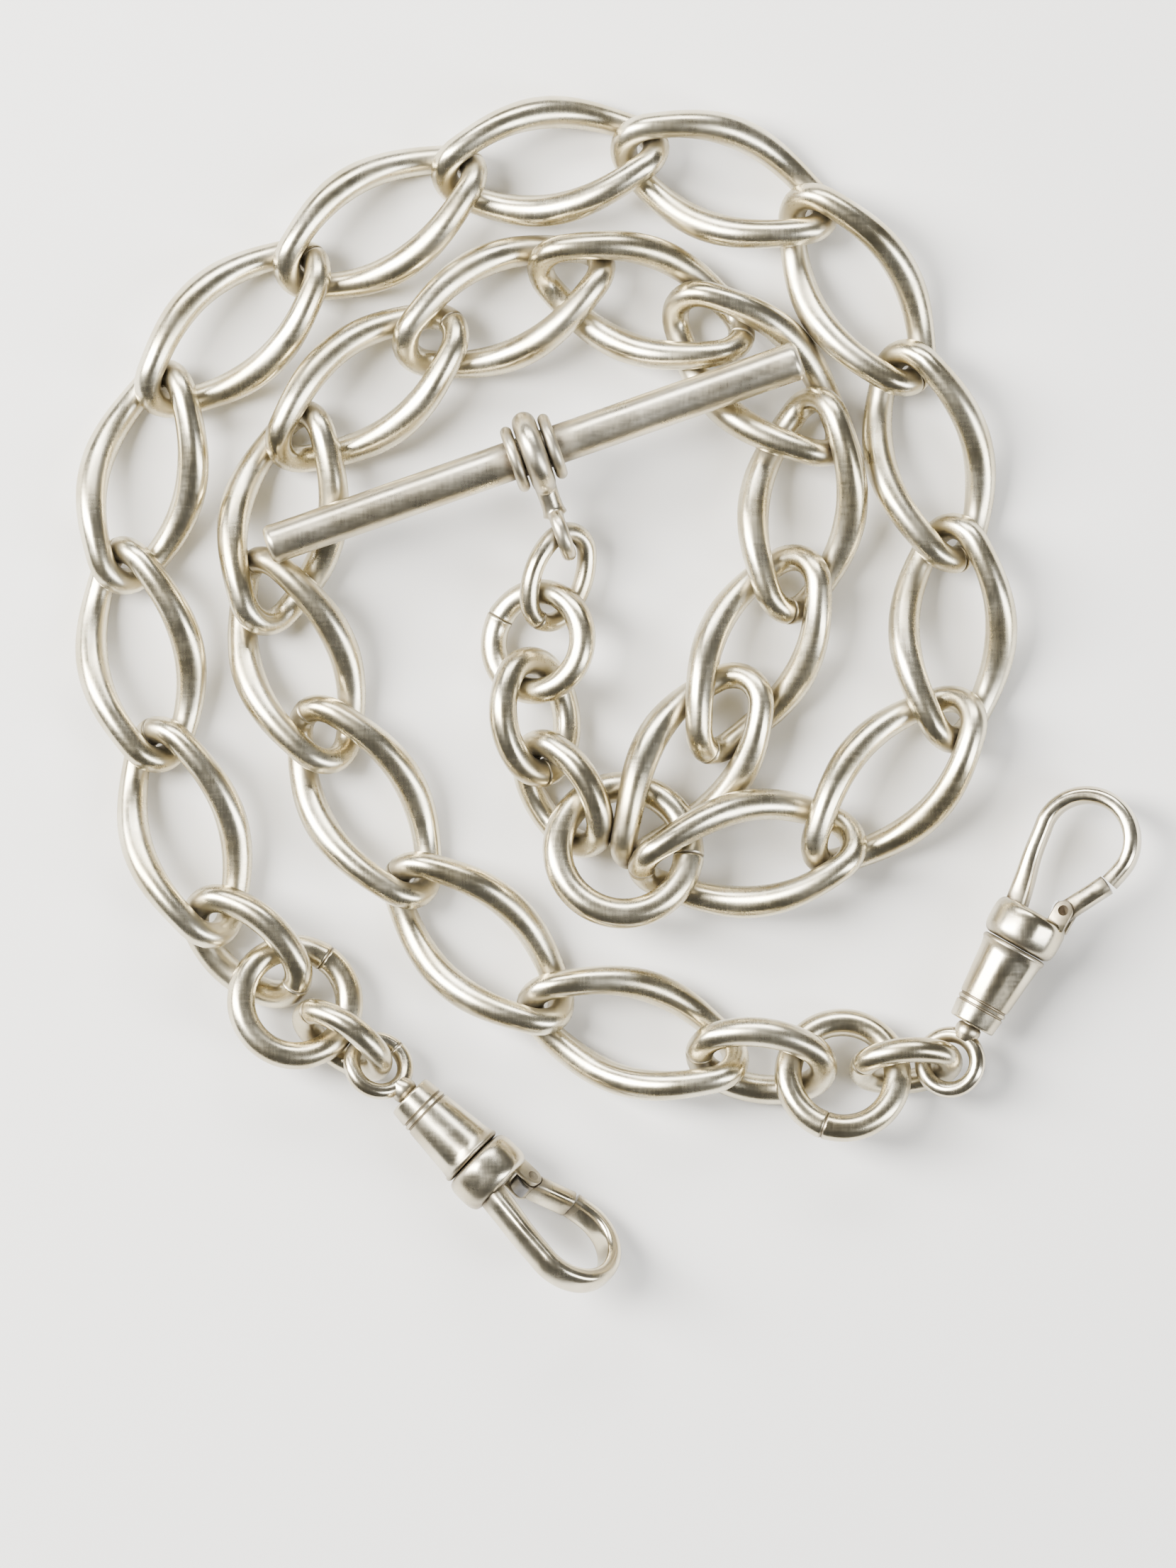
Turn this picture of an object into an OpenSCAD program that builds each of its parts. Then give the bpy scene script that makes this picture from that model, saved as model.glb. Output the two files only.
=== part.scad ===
// Pocket watch chain, double length, laid down in a loose coil.
// A ring joins two arms of twisted oval links and a short drop with a T-bar.
// Each arm ends in three small links and a swivel clip with a sprung gate.

/* [Main links] */
// Length of a link between the centres of its end wires
link_l = 15.7; // [12:0.1:20]
// Width of a link between the centres of its side wires
link_w = 7.2; // [5:0.1:10]
// Radius of the bend at each end of a link
link_bend = 2.2; // [1.5:0.1:3.5]
// Wire diameter in the middle of a link's side
link_wire = 2.35; // [1.5:0.05:3]
// Wire diameter at a link's ends
link_wire_end = 1.75; // [1.2:0.05:3]
// Turn of a link from one end to the other, degrees
link_twist = 90; // [0:5:90]

/* [Rings and small links] */
// Centre ring, diameter between wire centres
ring_d = 9.7; // [6:0.1:14]
// Centre ring, wire diameter
ring_wire = 2.2; // [1.2:0.1:3]
// Ring near the end of each arm, diameter between wire centres
end_ring_d = 8.1; // [5:0.1:12]
// Ring near the end of each arm, wire diameter
end_ring_wire = 2; // [1.2:0.1:3]
// Ring in the drop, diameter between wire centres
drop_ring_d = 7.4; // [5:0.1:12]
// Ring in the drop, wire diameter
drop_ring_wire = 1.9; // [1.2:0.1:3]

/* [T-bar] */
// Length of the bar
bar_l = 42; // [30:1:60]
// Diameter of the bar
bar_d = 2.8; // [1.8:0.1:4]
// Outside diameter of the bail round the bar
bail_d = 6.4; // [5.5:0.1:8]
// Thickness of the bail along the bar
bail_t = 1.8; // [1:0.1:2.5]
// Outside diameter of the two collars that keep the bail in the middle
bar_collar_d = 5.1; // [4:0.1:6]

/* [Swivel clips] */
// Diameter of the barrel at the eye
barrel_d_eye = 3.6; // [2.8:0.1:5]
// Diameter of the barrel at the collar
barrel_d_collar = 4.9; // [3.4:0.1:6]
// Length of the barrel
barrel_l = 6.7; // [5:0.1:10]
// Diameter of the collar
collar_d = 6; // [4.9:0.1:7]
// Length of the collar
collar_l = 3; // [2:0.1:4]
// Width of the hook's flat band
band_w = 2.2; // [1.5:0.1:3]
// Thickness of the hook's flat band
band_t = 1.3; // [0.8:0.1:2]

/* [Hidden] */
silver = [0.78, 0.76, 0.72];
worn_silver = [0.7, 0.68, 0.64];
steel = [0.55, 0.55, 0.57];
$fn = 48;

// Every loop of wire has this many flat sides and this many steps on a quarter turn
wire_sides = 10;
end_steps = 4;
side_steps = 3;

// Shape of a loop: half length, half width, end bend, wire in the middle, wire at the ends, twist
main_link = [link_l / 2, link_w / 2, link_bend, link_wire, link_wire_end, link_twist];
centre_ring = [ring_d / 2, ring_d / 2, ring_d / 2, ring_wire, ring_wire, 0];
end_oval = [4.6, 3.1, 2.5, 2.1, 2, 0];
end_ring = [end_ring_d / 2, end_ring_d / 2, end_ring_d / 2, end_ring_wire, end_ring_wire, 0];
end_link = [3.3, 2.5, 2.1, 1.8, 1.8, 0];
drop_oval = [4.2, 3, 2.4, 2, 2, 0];
drop_ring = [drop_ring_d / 2, drop_ring_d / 2, drop_ring_d / 2, drop_ring_wire, drop_ring_wire, 0];
drop_link = [3.5, 2.3, 1.9, 1.4, 1.4, 0];
function half_l(shape) = shape[0];
function end_wire(shape) = shape[4];

// A laid link leans by its turns: lift per degree of turn, roll per degree of turn, height when straight
link_lift = 0.006;
link_roll = 0.2;
link_height = 2.45;

// Main links from the ring outwards: turn in degrees, play in mm, then roll, dip and rise where
// a link lies over or under something
outer_rows = [
    [26, 1.1, 18, 5, 1.05], [39, 0.9, 7, 1, 0.4], [44, 0.8, -3, 1, 0.15], [15, 0.5], [17, 0.2], [37, 0.3],
    [29, 0.3], [23, 0.2], [10, 0.2], [36, 0.2], [24, 0.3], [6, 0.2, 3, -2.5, 0.3]
];
inner_rows = [
    [10, 2.8, 21, 2.5, 0.35], [8, 4.1, 12, 1, 0.15], [19, 2.0, 3, -1, 0.3], [54, 1.9, -4, 1, 0.15],
    [23, 3.3, 0, -1.5, 0.2], [46, 2.4, -6, 1, 0.1], [12, 1.9], [41, 1.4], [33, 2.6], [10, 2.1], [16, 0.2],
    [26, 0.2, -4, -2, 0.2]
];

// Small links: turn, play, side step, roll, height, shape
outer_end_rows = [
    [32, 0.4, 0.2, 40, 3, end_oval], [-1, 1.2, -0.7, -17, 3.15, end_ring], [7, 0.9, 0, 60, 3.3, end_link]
];
inner_end_rows = [
    [9, 0.7, 0.3, 46, 3.25, end_oval], [6, 0.5, -0.5, -18, 3.4, end_ring], [7, 0.7, 0.6, 60, 3.1, end_link]
];
drop_rows = [
    [-39, 0.3, -0.6, -49, 3.15, drop_oval], [-24, 0.1, 0.1, 40, 3.55, drop_oval],
    [-20, 0.2, 0, -28, 3.2, drop_ring], [-7, 0.5, -0.1, 37, 3.3, drop_link]
];

// Where the centre ring lies, how it tips, and where round it each arm starts
ring_at = [1.9, -11.65, 3.95];
ring_tilt = [-16, 2, 0];
outer_start = -19;
inner_start = 45;
drop_start = 160;

// T-bar: middle of the bar and its turns, then the bail's reach and the size of its eye
bar_at = [-4.75, 17.9, 5.6];
bar_turn = [0, 16, -70.7];
bar_bore = bar_d + 0.12;
bar_round = 0.5;
bail_reach = 6.5;
bail_eye_d = 3.2;
bail_eye_wire = 1;
bail_neck_d = 1.6;
bar_collar_t = 0.9;
collar_gap = 0.12;

// Swivel clip: eye at the origin, barrel, collar and hook along +X, the hook's band towards +Y
eye_d = 4.1;
eye_wire = 1.2;
post_d = 1.6;
post_bore = 1.72;
post_head_d = 2.4;
post_head_l = 0.8;
chamber_d = 2.9;
barrel_at = 3.2;
barrel_floor = 1.3;
head_gap = 0.08;
groove_at = 1.3;
groove_w = 0.2;
groove_depth = 0.15;
collar_at = barrel_at + barrel_l;
collar_round = 1;
hook_at = collar_at + collar_l;
hook_r = 3.45;
hook_centre = [6.5, -0.75];
hook_root = [0, 1.3];
hook_side = [[1.6, 1.75], [3.6, 2.35]];
hook_end = [4.6, -3.85];
band_sides = 12;
band_corner = 0.6;
gate_hinge = [1.1, -2];
seam_gap = 0.2;
gate_t = 1.5;
gate_w = 2.1;
tongue_w = 1.3;
tongue_l = 0.85;
gate_pin_d = 0.8;
gate_bore = 0.84;
knuckle_d = 1.6;
lug_d = 1.5;
lug_t = 0.4;
lug_gap = 0.05;
spring_t = 0.15;
spring_gap = 0.06;
spring_w = 1.1;

// Where the swivels lie: turn of the hook, turn of the eye, and height of their axis
outer_swivel_turn = [130, -4, -44];
outer_eye_roll = -30;
outer_swivel_height = 3.3;
inner_swivel_turn = [-14, 0, 60.5];
inner_eye_roll = -17;
inner_swivel_height = 3.2;

function unit(angle) = [cos(angle), sin(angle)];
function option(row, i) = len(row) > i ? row[i] : 0;

// One quarter of a loop's outline, from the middle of its end to the middle of its side
function side_radius(a, b, r) = b > r ? ((a - r) ^ 2 + b ^ 2 - r ^ 2) / (2 * (b - r)) : b;
function bend_angle(a, b, r) =
    b > r ? atan2(side_radius(a, b, r) - b, a - r) : 90 * end_steps / (end_steps + side_steps);
function quarter(i, a, b, r) = let (
        big = side_radius(a, b, r),
        bend = bend_angle(a, b, r),
        side = bend + (90 - bend) * (i - end_steps) / side_steps
    )
    i <= end_steps ? [a - r, 0] + r * unit(bend * i / end_steps) : [0, b - big] + big * unit(side);

// The whole outline: each quarter is the first one mirrored
function outline(shape) = let (n = end_steps + side_steps)
    [for (i = [0 : 4 * n - 1]) let (
        q = floor(i / n),
        k = i - q * n,
        p = quarter(q % 2 == 0 ? k : n - k, shape[0], shape[1], shape[2])
    ) [q == 0 || q == 3 ? p.x : -p.x, q < 2 ? p.y : -p.y]];

// The outline's point turned out of the flat by the twist, with the wire's radius there
function twist_at(shape, x) = -shape[5] / 2 * x / shape[0];
function lifted(shape, p) = let (turn = twist_at(shape, p.x)) [p.x, p.y * cos(turn), p.y * sin(turn)];
function wire_radius(shape, x) =
    (shape[4] + (shape[3] - shape[4]) * (1 + cos(180 * abs(x) / shape[0])) / 2) / 2;

// A closed tube through a ring of points: faces of sides x count quads, each cut in two
function tube_faces(count, sides) = [
    for (i = [0 : count - 1], j = [0 : sides - 1]) let (
        i2 = (i + 1) % count,
        j2 = (j + 1) % sides
    ) each [
        [i * sides + j, i2 * sides + j2, i * sides + j2],
        [i * sides + j, i2 * sides + j, i2 * sides + j2]
    ]
];

module wire_loop(shape) {
    flat = outline(shape);
    count = len(flat);
    centres = [for (p = flat) lifted(shape, p)];
    points = [
        for (i = [0 : count - 1]) let (
            along = centres[(i + 1) % count] - centres[(i + count - 1) % count],
            turn = twist_at(shape, flat[i].x),
            up = [0, -sin(turn), cos(turn)],
            side = cross(up, along) / norm(cross(up, along)),
            top = cross(along, side) / norm(along),
            radius = wire_radius(shape, flat[i].x)
        )
        for (j = [0 : wire_sides - 1]) let (angle = 360 * j / wire_sides)
            centres[i] + radius * (cos(angle) * side + sin(angle) * top)
    ];
    polyhedron(points, tube_faces(count, wire_sides), convexity = 4);
}

// A main link's turn, play, side step, roll, dip, height and shape
function link_pose(rows, i, last_turn) = let (
        turn_in = i == 0 ? 0 : rows[i][0],
        turn_out = i < len(rows) - 1 ? rows[i + 1][0] : last_turn,
        roll = option(rows[i], 2) + link_roll * (turn_in - turn_out),
        dip = option(rows[i], 3) - asin(link_lift * (turn_in + turn_out) / link_l),
        height = link_height + option(rows[i], 4) + link_lift * (turn_out - turn_in) / 2
    )
    [rows[i][0], rows[i][1], 0, roll, dip, height, main_link];
function small_pose(row) = [row[0], row[1], row[2], row[3], 0, row[4], row[5]];
function arm_poses(rows, end_rows) = concat(
    [for (i = [0 : 1 : len(rows) - 1]) link_pose(rows, i, end_rows[0][0])],
    [for (row = end_rows) small_pose(row)]
);

// Lays poses end to end from a tip. Each piece gets its centre, its angles and the plan of its far tip
function lay(poses, tip, heading, wire, i = 0) = i == len(poses) ? [] : let (
        pose = poses[i],
        shape = pose[6],
        turned = heading + pose[0],
        between = (unit(heading) + unit(turned)) / norm(unit(heading) + unit(turned)),
        overlap = (wire + end_wire(shape)) / 2 + pose[1],
        near = tip - overlap * between + pose[2] * [-between.y, between.x],
        reach = unit(turned) * half_l(shape) * cos(pose[4]),
        centre = near + reach
    )
    concat(
        [[[centre.x, centre.y, pose[5]], [pose[3], pose[4], turned], near + 2 * reach]],
        lay(poses, near + 2 * reach, turned, end_wire(shape), i + 1)
    );
function arm(start, rows, end_rows) = lay(
    arm_poses(rows, end_rows), [ring_at.x, ring_at.y] + ring_d / 2 * unit(start), start, ring_wire
);
links_per_arm = len(outer_rows);
outer_arm = arm(outer_start, outer_rows, outer_end_rows);
inner_arm = arm(inner_start, inner_rows, inner_end_rows);
outer_end = [for (i = [0 : 2]) outer_arm[links_per_arm + i]];
inner_end = [for (i = [0 : 2]) inner_arm[links_per_arm + i]];
drop_arm = arm(drop_start, [], drop_rows);

// The laid coil is moved so that the middle of its outline is over the origin
coil_shift = [-0.84, 0, 0.117];

module placed(item) {
    translate(coil_shift + item[0])
        rotate(item[1])
            children();
}

swivel_pieces = ["eye", "barrel", "collar", "hook", "gate", "gate_pin", "spring"];

module centre_ring_part() {
    color(silver) wire_loop(centre_ring);
}

module main_link_part() {
    color(silver) wire_loop(main_link);
}

module small_link_part(shape) {
    color(silver) wire_loop(shape);
}

// A flat-ended tube along a path in the XY plane, with a soft-cornered flat section t thick and w wide
function boxy(v) = sign(v) * abs(v) ^ band_corner;
function path_direction(path, i) = let (
        last = len(path) - 1,
        d = path[min(i + 1, last)] - path[max(i - 1, 0)]
    )
    i == 0 ? [1, 0] : d / norm(d);
function band_ring(p, d, t, w) = [
    for (j = [0 : band_sides - 1]) let (
        angle = 360 * j / band_sides,
        out = t / 2 * boxy(cos(angle))
    ) [p.x - d.y * out, p.y + d.x * out, w / 2 * boxy(sin(angle))]
];
module band(path, t, w) {
    count = len(path);
    points = [for (i = [0 : count - 1]) each band_ring(path[i], path_direction(path, i), t, w)];
    skin = [
        for (i = [0 : count - 2], j = [0 : band_sides - 1]) let (j2 = (j + 1) % band_sides) each [
            [i * band_sides + j, (i + 1) * band_sides + j2, i * band_sides + j2],
            [i * band_sides + j, (i + 1) * band_sides + j, (i + 1) * band_sides + j2]
        ]
    ];
    near_end = [for (j = [0 : band_sides - 1]) j];
    far_end = [for (j = [band_sides - 1 : -1 : 0]) (count - 1) * band_sides + j];
    polyhedron(points, concat(skin, [near_end, far_end]), convexity = 6);
}

// Turned along X from a profile of [distance along, radius] points
module turned(profile) {
    rotate([0, 90, 0])
        rotate([0, 0, 90])
            rotate_extrude()
                polygon([for (p = profile) [p.y, p.x]]);
}
function rim(x, radius, r, from, to) = [for (a = [from : (to - from) / 6 : to]) [x, radius] + r * unit(a)];

module bar_part() {
    color(silver)
        rotate([0, 0, 90])
            turned(concat(
                [[-bar_l / 2, 0]],
                rim(bar_round - bar_l / 2, bar_d / 2 - bar_round, bar_round, 180, 90),
                rim(bar_l / 2 - bar_round, bar_d / 2 - bar_round, bar_round, 90, 0),
                [[bar_l / 2, 0]]
            ));
}

module bar_collar_part(side) {
    inner = bail_t / 2 + collar_gap;
    edge = bar_collar_t / 2;
    color(silver)
        rotate([0, 0, 90 * side])
            turned(concat(
                [[inner, bar_d / 2]],
                rim(inner + edge, bar_collar_d / 2 - edge, edge, 180, 0),
                [[inner + bar_collar_t, bar_d / 2]]
            ));
}

module bail_part() {
    edge = bail_t / 2;
    neck_from = bar_bore / 2 + 0.4;
    neck_to = bail_reach - bail_eye_d / 2 + 0.13;
    bail_eye = [bail_eye_d / 2, bail_eye_d / 2, bail_eye_d / 2, bail_eye_wire, bail_eye_wire, 0];
    color(silver) {
        rotate([0, 0, 90])
            turned(concat(
                [[-edge, bar_bore / 2]],
                rim(0, bail_d / 2 - edge, edge, 180, 0),
                [[edge, bar_bore / 2]]
            ));
        translate([neck_from, 0, 0])
            rotate([0, 90, 0])
                rotate([0, 0, 45])
                    cylinder(h = neck_to - neck_from, d = bail_neck_d);
        translate([bail_reach, 0, 0])
            rotate([90, 0, 0])
                wire_loop(bail_eye);
    }
}

module swivel_eye_part() {
    eye_shape = [eye_d / 2, eye_d / 2, eye_d / 2, eye_wire, eye_wire, 0];
    post_from = eye_d / 2;
    head_at = barrel_at + barrel_floor + head_gap;
    color(worn_silver) {
        wire_loop(eye_shape);
        turned([
            [post_from, 0], [post_from, post_d / 2], [head_at, post_d / 2], [head_at, post_head_d / 2],
            [head_at + post_head_l, post_head_d / 2], [head_at + post_head_l, 0]
        ]);
    }
}

module swivel_barrel_part() {
    start_r = barrel_d_eye / 2;
    end_r = barrel_d_collar / 2;
    slope = (end_r - start_r) / barrel_l;
    g1 = barrel_at + groove_at;
    g2 = g1 + 2 * groove_w;
    function skin_r(x) = start_r + slope * (x - barrel_at);
    function groove(x) = [
        [x, skin_r(x)], [x, skin_r(x) - groove_depth],
        [x + groove_w, skin_r(x) - groove_depth], [x + groove_w, skin_r(x)]
    ];
    color(silver)
        turned(concat(
            [[barrel_at, post_bore / 2], [barrel_at, start_r]],
            groove(g1), groove(g2),
            [
                [collar_at, end_r], [collar_at, chamber_d / 2],
                [barrel_at + barrel_floor, chamber_d / 2], [barrel_at + barrel_floor, post_bore / 2]
            ]
        ));
}

module swivel_collar_part() {
    mid = collar_at + collar_l / 2;
    far = collar_at + collar_l;
    edge_r = collar_d / 2 - collar_round;
    bulge = collar_l / 2;
    color(silver) {
        turned(concat(
            [[collar_at, 0]],
            [for (a = [180 : -15 : 0]) [mid + bulge * cos(a), edge_r + collar_round * sin(a)]],
            [[far, 0]]
        ));
        for (side = [-1, 1])
            gate_lug(side);
    }
}

// One of the two lugs that hold the gate's pin
module gate_lug(side) {
    z = side > 0 ? tongue_w / 2 + lug_gap : -tongue_w / 2 - lug_gap - lug_t;
    difference() {
        translate([hook_at, gate_hinge.y, z]) {
            translate([gate_hinge.x, 0, 0])
                cylinder(h = lug_t, d = lug_d);
            translate([-lug_t, -lug_d / 2, 0])
                cube([gate_hinge.x + lug_t, lug_d, lug_t]);
        }
        translate([hook_at + gate_hinge.x, gate_hinge.y, z - 1])
            cylinder(h = lug_t + 2, d = gate_pin_d);
    }
}

module swivel_hook_part() {
    arc = [for (a = [105 : -15 : -105]) hook_centre + hook_r * unit(a)];
    color(silver)
        translate([hook_at, 0, 0])
            band(concat([hook_root], hook_side, arc, [hook_end]), band_t, band_w);
}

// A narrow tongue between the lugs carries the gate's wide blade
module swivel_gate_part() {
    reach = hook_end - gate_hinge;
    color(silver)
        translate([hook_at + gate_hinge.x, gate_hinge.y, 0])
            rotate([0, 0, atan2(reach.y, reach.x)])
                difference() {
                    intersection() {
                        union() {
                            cylinder(h = tongue_w, d = knuckle_d, center = true);
                            translate([0, -gate_t / 2, -tongue_w / 2])
                                cube([tongue_l, gate_t, tongue_w]);
                            translate([tongue_l, -gate_t / 2, -gate_w / 2])
                                cube([norm(reach), gate_t, gate_w]);
                        }
                        cylinder(h = 2 * gate_w, r = norm(reach) - seam_gap, center = true);
                    }
                    cylinder(h = 2 * gate_w, d = gate_bore, center = true);
                }
}

module swivel_gate_pin_part() {
    length = tongue_w + 2 * (lug_gap + lug_t);
    color(worn_silver)
        translate([hook_at + gate_hinge.x, gate_hinge.y, 0])
            cylinder(h = length, d = gate_pin_d, center = true);
}

// A leaf spring curled round the gate's knuckle
module swivel_spring_part() {
    inner = knuckle_d / 2 + spring_gap;
    color(steel)
        translate([hook_at + gate_hinge.x, gate_hinge.y, 0])
            rotate([0, 0, 60])
                translate([0, 0, -spring_w / 2])
                    rotate_extrude(angle = 110)
                        translate([inner, 0])
                            square([spring_t, spring_w]);
}

module swivel_piece(piece) {
    if (piece == "eye") swivel_eye_part();
    if (piece == "barrel") swivel_barrel_part();
    if (piece == "collar") swivel_collar_part();
    if (piece == "hook") swivel_hook_part();
    if (piece == "gate") swivel_gate_part();
    if (piece == "gate_pin") swivel_gate_pin_part();
    if (piece == "spring") swivel_spring_part();
}

// A swivel's pieces hang on the far tip of its arm's last link; the eye turns on its own
function swivel_place(last_link, height, turn, eye_roll, piece) = let (tip = last_link[2])
    [[tip.x, tip.y, height], piece == "eye" ? [eye_roll, turn.y, turn.z] : turn];

placed([ring_at, ring_tilt]) centre_ring_part();  // centre_ring
for (i = [1 : links_per_arm]) {
    placed(outer_arm[i - 1]) main_link_part();
    placed(inner_arm[i - 1]) main_link_part();
}
placed(outer_end[0]) small_link_part(end_oval);  // outer_end_oval
placed(outer_end[1]) small_link_part(end_ring);  // outer_end_ring
placed(outer_end[2]) small_link_part(end_link);  // outer_end_link
placed(inner_end[0]) small_link_part(end_oval);  // inner_end_oval
placed(inner_end[1]) small_link_part(end_ring);  // inner_end_ring
placed(inner_end[2]) small_link_part(end_link);  // inner_end_link
placed(drop_arm[0]) small_link_part(drop_oval);  // drop_oval_1
placed(drop_arm[1]) small_link_part(drop_oval);  // drop_oval_2
placed(drop_arm[2]) small_link_part(drop_ring);
placed(drop_arm[3]) small_link_part(drop_link);
placed([bar_at, bar_turn]) bar_part();  // bar
placed([bar_at, bar_turn]) bar_collar_part(-1);  // bar_collar_left
placed([bar_at, bar_turn]) bar_collar_part(1);  // bar_collar_right
placed([bar_at, bar_turn]) bail_part();  // bar_bail
for (piece = swivel_pieces) {
    outer_place = swivel_place(outer_end[2], outer_swivel_height, outer_swivel_turn, outer_eye_roll, piece);
    inner_place = swivel_place(inner_end[2], inner_swivel_height, inner_swivel_turn, inner_eye_roll, piece);
    placed(outer_place) swivel_piece(piece);
    placed(inner_place) swivel_piece(piece);
}
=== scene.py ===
"""Pocket watch chain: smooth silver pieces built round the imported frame."""
from collections import namedtuple
from math import atan2, cos, degrees, pi, radians, sin

import bmesh
import bpy
import numpy as np
from mathutils import Euler, Matrix, Vector
from mathutils.bvhtree import BVHTree


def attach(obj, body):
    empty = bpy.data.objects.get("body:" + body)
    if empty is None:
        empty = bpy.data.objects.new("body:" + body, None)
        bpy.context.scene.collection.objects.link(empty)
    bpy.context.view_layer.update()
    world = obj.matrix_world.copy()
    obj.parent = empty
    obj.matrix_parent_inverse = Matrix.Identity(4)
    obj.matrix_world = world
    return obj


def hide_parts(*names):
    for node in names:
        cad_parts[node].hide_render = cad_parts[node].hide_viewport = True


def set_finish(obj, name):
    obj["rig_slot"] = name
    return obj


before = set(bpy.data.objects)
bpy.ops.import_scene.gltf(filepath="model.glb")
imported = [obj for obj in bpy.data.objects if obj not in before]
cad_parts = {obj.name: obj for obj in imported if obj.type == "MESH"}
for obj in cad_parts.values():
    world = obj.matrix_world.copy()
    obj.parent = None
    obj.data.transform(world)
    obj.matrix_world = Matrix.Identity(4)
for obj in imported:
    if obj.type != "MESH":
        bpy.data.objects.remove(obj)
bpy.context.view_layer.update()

MM = 0.001

# Lengths are in mm and angles in degrees up to the materials, and in metres and radians from there on

# ---------------------------------------------------------------- loops of wire
Loop = namedtuple("Loop", "half_length half_width bend wire end_wire twist")
MAIN_LINK = Loop(7.85, 3.6, 2.2, 2.35, 1.75, 90)
CENTRE_RING = Loop(4.85, 4.85, 4.85, 2.2, 2.2, 0)
END_OVAL = Loop(4.6, 3.1, 2.5, 2.1, 2.0, 0)
END_RING = Loop(4.05, 4.05, 4.05, 2.0, 2.0, 0)
END_LINK = Loop(3.3, 2.5, 2.1, 1.8, 1.8, 0)
DROP_OVAL = Loop(4.2, 3.0, 2.4, 2.0, 2.0, 0)
DROP_RING = Loop(3.7, 3.7, 3.7, 1.9, 1.9, 0)
DROP_LINK = Loop(3.5, 2.3, 1.9, 1.4, 1.4, 0)
SWIVEL_EYE = Loop(2.05, 2.05, 2.05, 1.2, 1.2, 0)
BAIL_EYE = Loop(1.6, 1.6, 1.6, 1.1, 1.1, 0)

WIRE_SIDES = 22
LOOP_STEPS = 84
QUARTER_STEPS = 40
POLE_R = 0.001

# How much of the thinning at a link's ends is kept off its outer face, and how far that face stands
# proud of the CAD wire, as a share of the wire
FULLER = 0.3
PROUD = 0.045

# Hand-finished wire: its four faint flats and its unevenness as shares of the radius, and how far the
# flats wander round it, as a cosine's shift in radians
FLATTENED = 0.012
UNEVEN = 0.006
WANDER = 0.3

# A seam is a low bulge of solder with a fine dark groove in it. Heights are shares of the wire's radius,
# and each has a reach along the wire
SOLDER_BULGE, SOLDER_REACH = 0.035, 0.45
SEAM_GROOVE, SEAM_GROOVE_REACH = 0.09, 0.07
SEAM_DARK, SEAM_DARK_REACH = 0.9, 0.09
# The extra rings round a seam, and how far from it the loop's even rings stop
SEAM_STEPS, SEAM_ZONE, SEAM_CLEAR = 13, 0.36, 0.4

# ---------------------------------------------------------------- how the coil lies, as in the CAD model
# A main link after the one before it: turn, play, and for some a roll, a dip and a rise
Lie = namedtuple("Lie", "turn play roll dip rise", defaults=(0, 0, 0))
OUTER_LINKS = [
    Lie(26, 1.1, 18, 5, 1.05), Lie(39, 0.9, 7, 1, 0.4), Lie(44, 0.8, -3, 1, 0.15), Lie(15, 0.5),
    Lie(17, 0.2), Lie(37, 0.3), Lie(29, 0.3), Lie(23, 0.2),
    Lie(10, 0.2), Lie(36, 0.2), Lie(24, 0.3), Lie(6, 0.2, 3, -2.5, 0.3),
]
INNER_LINKS = [
    Lie(10, 2.8, 21, 2.5, 0.35), Lie(8, 4.1, 12, 1, 0.15), Lie(19, 2.0, 3, -1, 0.3),
    Lie(54, 1.9, -4, 1, 0.15), Lie(23, 3.3, 0, -1.5, 0.2), Lie(46, 2.4, -6, 1, 0.1),
    Lie(12, 1.9), Lie(41, 1.4), Lie(33, 2.6), Lie(10, 2.1), Lie(16, 0.2), Lie(26, 0.2, -4, -2, 0.2),
]
LINK_LIFT = 0.006
LINK_ROLL = 0.2
LINK_HEIGHT = 2.45

# Small links: name, turn, play, side step, roll, height, loop, seam
OUTER_END = [
    ("end_oval", 32, 0.4, 0.2, 40, 3, END_OVAL, 0.02),
    ("end_ring", -1, 1.2, -0.7, -17, 3.15, END_RING, 0.27),
    ("end_link", 7, 0.9, 0, 60, 3.3, END_LINK, 0.45),
]
INNER_END = [
    ("end_oval", 9, 0.7, 0.3, 46, 3.25, END_OVAL, 0.5),
    ("end_ring", 6, 0.5, -0.5, -18, 3.4, END_RING, 0.7),
    ("end_link", 7, 0.7, 0.6, 60, 3.1, END_LINK, 0.45),
]
DROP = [
    ("oval_1", -39, 0.3, -0.6, -49, 3.15, DROP_OVAL, 0.03),
    ("oval_2", -24, 0.1, 0.1, 40, 3.55, DROP_OVAL, 0.5),
    ("ring", -20, 0.2, 0, -28, 3.2, DROP_RING, 0.2),
    ("link", -7, 0.5, -0.1, 37, 3.3, DROP_LINK, 0.48),
]
# The other loops' seams. All are shares of the way round a loop
MAIN_SEAM, CENTRE_SEAM, EYE_SEAM, BAIL_SEAM = 0.5, 0.985, 0.25, 0.9
# What starts each loop's random numbers: the centre ring, the first loop of the arms, and the bail
CENTRE_SEED, FIRST_SEED, BAIL_SEED = 1, 11, 7

RING_AT, RING_TILT = (1.9, -11.65, 3.95), (-16, 2, 0)
OUTER_START, INNER_START, DROP_START = -19, 45, 160
BAR_AT, BAR_TURN = (-4.75, 17.9, 5.6), (0, 16, -70.7)
OUTER_SWIVEL = dict(turn=(130, -4, -44), eye_roll=-30, height=3.3)
INNER_SWIVEL = dict(turn=(-14, 0, 60.5), eye_roll=-17, height=3.2)
COIL_SHIFT = np.array([-0.84, 0, 0.117])

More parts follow.
